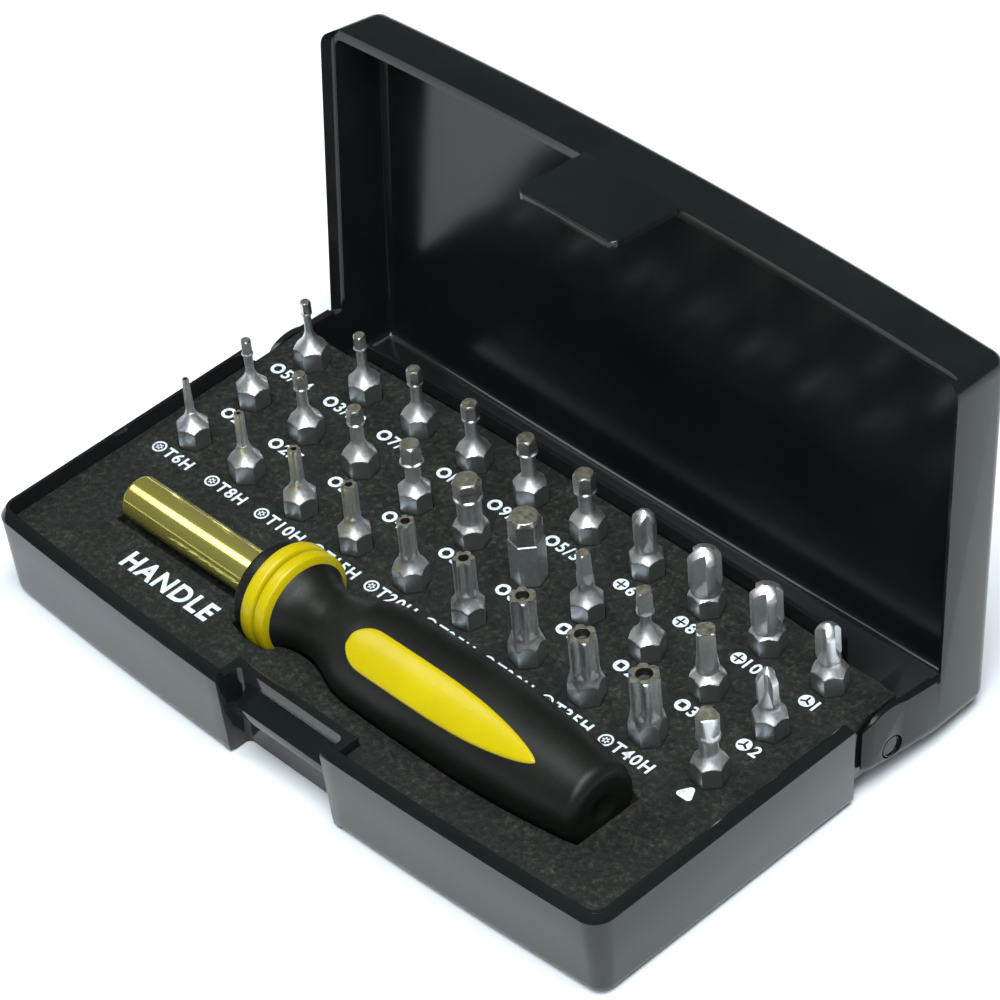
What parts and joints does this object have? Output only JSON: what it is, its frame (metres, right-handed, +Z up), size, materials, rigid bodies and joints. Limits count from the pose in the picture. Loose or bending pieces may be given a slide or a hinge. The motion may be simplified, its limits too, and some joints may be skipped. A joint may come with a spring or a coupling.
{
  "type": "precision screwdriver set",
  "caption": "Flat hinged case with a soft insert that holds a magnetic bit driver in a cradle and upright hexagonal security bits in rows.",
  "frame": {"origin": "middle of the case's flat underside, on the surface it stands on", "axes": "+X along the hinge line to the right, +Y towards the hinge, +Z up"},
  "size_m": [0.1684, 0.1139, 0.0876],
  "materials": {
    "case_black": "smooth glossy injection-moulded black plastic",
    "insert_foam": "matt mottled dark grey-green soft insert with white size marks",
    "bit_steel": "bead-blasted hardened steel, machined tips",
    "shaft_chrome": "polished plated tube",
    "magnet_grey": "nickel-grey magnet",
    "handle_yellow": "satin-gloss lemon yellow hard plastic",
    "grip_rubber": "soft satin black overmould"
  },
  "bodies": {
    "case": {"case_base": "case_black", "insert": "insert_foam", "hinge_pin_left": "case_black", "hinge_pin_right": "case_black"},
    "lid": {"case_lid": "case_black"},
    "driver": {"driver_shaft": "shaft_chrome", "driver_magnet": "magnet_grey", "driver_collar": "grip_rubber", "driver_core": "handle_yellow", "driver_grip": "grip_rubber"},
    "bit_lobe_t6": {"bit_lobe_t6": "bit_steel"},
    "bit_lobe_t8": {"bit_lobe_t8": "bit_steel"},
    "bit_lobe_t10": {"bit_lobe_t10": "bit_steel"},
    "bit_lobe_t15": {"bit_lobe_t15": "bit_steel"},
    "bit_lobe_t20": {"bit_lobe_t20": "bit_steel"},
    "bit_lobe_t25": {"bit_lobe_t25": "bit_steel"},
    "bit_lobe_t30": {"bit_lobe_t30": "bit_steel"},
    "bit_lobe_t35": {"bit_lobe_t35": "bit_steel"},
    "bit_lobe_t40": {"bit_lobe_t40": "bit_steel"},
    "bit_triangle": {"bit_triangle": "bit_steel"},
    "bit_hex_2": {"bit_hex_2": "bit_steel"},
    "bit_hex_2p5": {"bit_hex_2p5": "bit_steel"},
    "bit_hex_3": {"bit_hex_3": "bit_steel"},
    "bit_hex_4": {"bit_hex_4": "bit_steel"},
    "bit_hex_5": {"bit_hex_5": "bit_steel"},
    "bit_hex_6": {"bit_hex_6": "bit_steel"},
    "bit_square_1": {"bit_square_1": "bit_steel"},
    "bit_square_2": {"bit_square_2": "bit_steel"},
    "bit_square_3": {"bit_square_3": "bit_steel"},
    "bit_wing_2": {"bit_wing_2": "bit_steel"},
    "bit_hex_5_64": {"bit_hex_5_64": "bit_steel"},
    "bit_hex_3_32": {"bit_hex_3_32": "bit_steel"},
    "bit_hex_7_64": {"bit_hex_7_64": "bit_steel"},
    "bit_hex_1_8": {"bit_hex_1_8": "bit_steel"},
    "bit_hex_9_64": {"bit_hex_9_64": "bit_steel"},
    "bit_hex_5_32": {"bit_hex_5_32": "bit_steel"},
    "bit_cross_6": {"bit_cross_6": "bit_steel"},
    "bit_cross_8": {"bit_cross_8": "bit_steel"},
    "bit_cross_10": {"bit_cross_10": "bit_steel"},
    "bit_wing_1": {"bit_wing_1": "bit_steel"}
  },
  "joints": [
    {"name": "lid_hinge", "type": "hinge", "parent": "case", "child": "lid", "pos_m": [0, 0.03585, 0.0077], "axis": [-1, 0, 0], "range_deg": [-95.1, 0]},
    {"name": "driver_lift", "type": "slide", "parent": "case", "child": "driver", "axis": [0, 0, 1], "range_m": [0, 0.04]},
    {"name": "bit_lobe_t6_lift", "type": "slide", "parent": "case", "child": "bit_lobe_t6", "axis": [0, 0, 1], "range_m": [0, 0.03]},
    {"name": "bit_lobe_t8_lift", "type": "slide", "parent": "case", "child": "bit_lobe_t8", "axis": [0, 0, 1], "range_m": [0, 0.03]},
    {"name": "bit_lobe_t10_lift", "type": "slide", "parent": "case", "child": "bit_lobe_t10", "axis": [0, 0, 1], "range_m": [0, 0.03]},
    {"name": "bit_lobe_t15_lift", "type": "slide", "parent": "case", "child": "bit_lobe_t15", "axis": [0, 0, 1], "range_m": [0, 0.03]},
    {"name": "bit_lobe_t20_lift", "type": "slide", "parent": "case", "child": "bit_lobe_t20", "axis": [0, 0, 1], "range_m": [0, 0.03]},
    {"name": "bit_lobe_t25_lift", "type": "slide", "parent": "case", "child": "bit_lobe_t25", "axis": [0, 0, 1], "range_m": [0, 0.03]},
    {"name": "bit_lobe_t30_lift", "type": "slide", "parent": "case", "child": "bit_lobe_t30", "axis": [0, 0, 1], "range_m": [0, 0.03]},
    {"name": "bit_lobe_t35_lift", "type": "slide", "parent": "case", "child": "bit_lobe_t35", "axis": [0, 0, 1], "range_m": [0, 0.03]},
    {"name": "bit_lobe_t40_lift", "type": "slide", "parent": "case", "child": "bit_lobe_t40", "axis": [0, 0, 1], "range_m": [0, 0.03]},
    {"name": "bit_triangle_lift", "type": "slide", "parent": "case", "child": "bit_triangle", "axis": [0, 0, 1], "range_m": [0, 0.03]},
    {"name": "bit_hex_2_lift", "type": "slide", "parent": "case", "child": "bit_hex_2", "axis": [0, 0, 1], "range_m": [0, 0.03]},
    {"name": "bit_hex_2p5_lift", "type": "slide", "parent": "case", "child": "bit_hex_2p5", "axis": [0, 0, 1], "range_m": [0, 0.03]},
    {"name": "bit_hex_3_lift", "type": "slide", "parent": "case", "child": "bit_hex_3", "axis": [0, 0, 1], "range_m": [0, 0.03]},
    {"name": "bit_hex_4_lift", "type": "slide", "parent": "case", "child": "bit_hex_4", "axis": [0, 0, 1], "range_m": [0, 0.03]},
    {"name": "bit_hex_5_lift", "type": "slide", "parent": "case", "child": "bit_hex_5", "axis": [0, 0, 1], "range_m": [0, 0.03]},
    {"name": "bit_hex_6_lift", "type": "slide", "parent": "case", "child": "bit_hex_6", "axis": [0, 0, 1], "range_m": [0, 0.03]},
    {"name": "bit_square_1_lift", "type": "slide", "parent": "case", "child": "bit_square_1", "axis": [0, 0, 1], "range_m": [0, 0.03]},
    {"name": "bit_square_2_lift", "type": "slide", "parent": "case", "child": "bit_square_2", "axis": [0, 0, 1], "range_m": [0, 0.03]},
    {"name": "bit_square_3_lift", "type": "slide", "parent": "case", "child": "bit_square_3", "axis": [0, 0, 1], "range_m": [0, 0.03]},
    {"name": "bit_wing_2_lift", "type": "slide", "parent": "case", "child": "bit_wing_2", "axis": [0, 0, 1], "range_m": [0, 0.03]},
    {"name": "bit_hex_5_64_lift", "type": "slide", "parent": "case", "child": "bit_hex_5_64", "axis": [0, 0, 1], "range_m": [0, 0.03]},
    {"name": "bit_hex_3_32_lift", "type": "slide", "parent": "case", "child": "bit_hex_3_32", "axis": [0, 0, 1], "range_m": [0, 0.03]},
    {"name": "bit_hex_7_64_lift", "type": "slide", "parent": "case", "child": "bit_hex_7_64", "axis": [0, 0, 1], "range_m": [0, 0.03]},
    {"name": "bit_hex_1_8_lift", "type": "slide", "parent": "case", "child": "bit_hex_1_8", "axis": [0, 0, 1], "range_m": [0, 0.03]},
    {"name": "bit_hex_9_64_lift", "type": "slide", "parent": "case", "child": "bit_hex_9_64", "axis": [0, 0, 1], "range_m": [0, 0.03]},
    {"name": "bit_hex_5_32_lift", "type": "slide", "parent": "case", "child": "bit_hex_5_32", "axis": [0, 0, 1], "range_m": [0, 0.03]},
    {"name": "bit_cross_6_lift", "type": "slide", "parent": "case", "child": "bit_cross_6", "axis": [0, 0, 1], "range_m": [0, 0.03]},
    {"name": "bit_cross_8_lift", "type": "slide", "parent": "case", "child": "bit_cross_8", "axis": [0, 0, 1], "range_m": [0, 0.03]},
    {"name": "bit_cross_10_lift", "type": "slide", "parent": "case", "child": "bit_cross_10", "axis": [0, 0, 1], "range_m": [0, 0.03]},
    {"name": "bit_wing_1_lift", "type": "slide", "parent": "case", "child": "bit_wing_1", "axis": [0, 0, 1], "range_m": [0, 0.03]}
  ]
}
